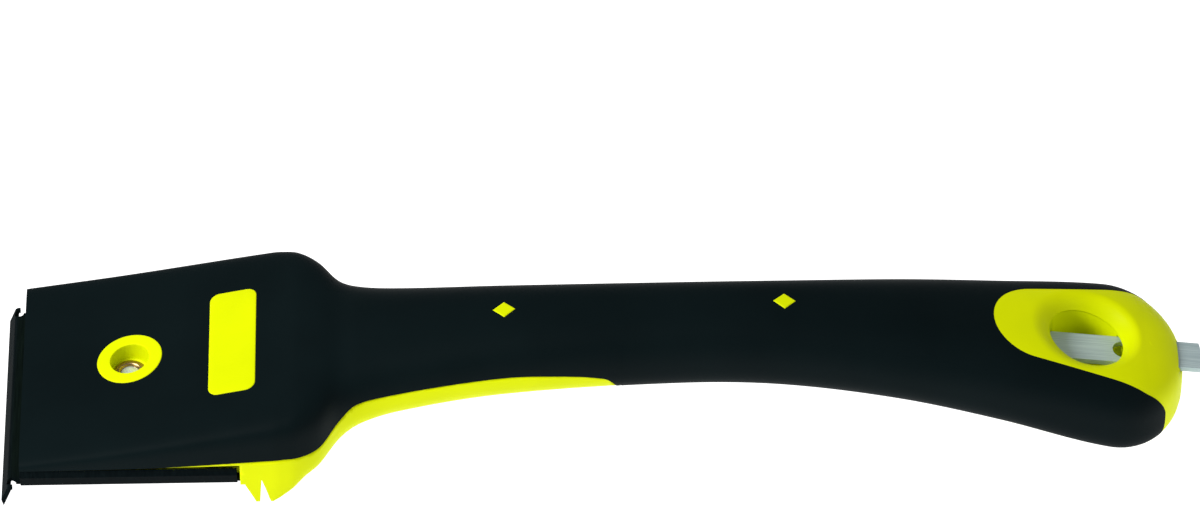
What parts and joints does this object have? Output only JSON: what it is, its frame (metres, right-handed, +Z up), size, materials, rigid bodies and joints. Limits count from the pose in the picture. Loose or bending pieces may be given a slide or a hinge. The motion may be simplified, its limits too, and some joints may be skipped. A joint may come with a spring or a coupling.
{
  "type": "four-edge scraper",
  "caption": "Hand scraper with a folded square blade clamped under a flat head, a curved handle with a soft grip, and a file kept in the handle end.",
  "frame": {"origin": "on the surface the tool lies on, midway between the front cutting edge and the file's tip", "axes": "+X from the front cutting edge towards the handle end, +Z up from the surface the tool lies on, +Y across the tool"},
  "size_m": [0.3059, 0.066, 0.0377],
  "materials": {
    "yellow_plastic": "satin",
    "black_grip": "matte",
    "insert_brass": "satin",
    "black_blade_steel": "satin",
    "plated_steel": "satin",
    "file_steel": "satin"
  },
  "bodies": {
    "handle": {"core_body": "yellow_plastic", "soft_grip": "black_grip", "thread_insert": "insert_brass"},
    "blade_set": {"blade": "black_blade_steel", "clamp_washer": "plated_steel"},
    "screw": {"clamp_screw": "plated_steel"},
    "file": {"file_bar": "file_steel"}
  },
  "joints": [
    {"name": "blade_lower", "type": "slide", "parent": "handle", "child": "blade_set", "axis": [0, 0, -1], "range_m": [0, 0.0048]},
    {"name": "screw_turn", "type": "hinge", "parent": "blade_set", "child": "screw", "pos_m": [-0.12085, 0, 0.006], "axis": [0, 0, -1], "range_deg": [0, 2165]},
    {"name": "file_slide", "type": "slide", "parent": "handle", "child": "file", "axis": [0.9905, 0, -0.1374], "range_m": [0, 0.07]}
  ],
  "couplings": [
    {"joint": "screw_turn", "follows": "blade_lower", "rad_per_m": 7854}
  ]
}
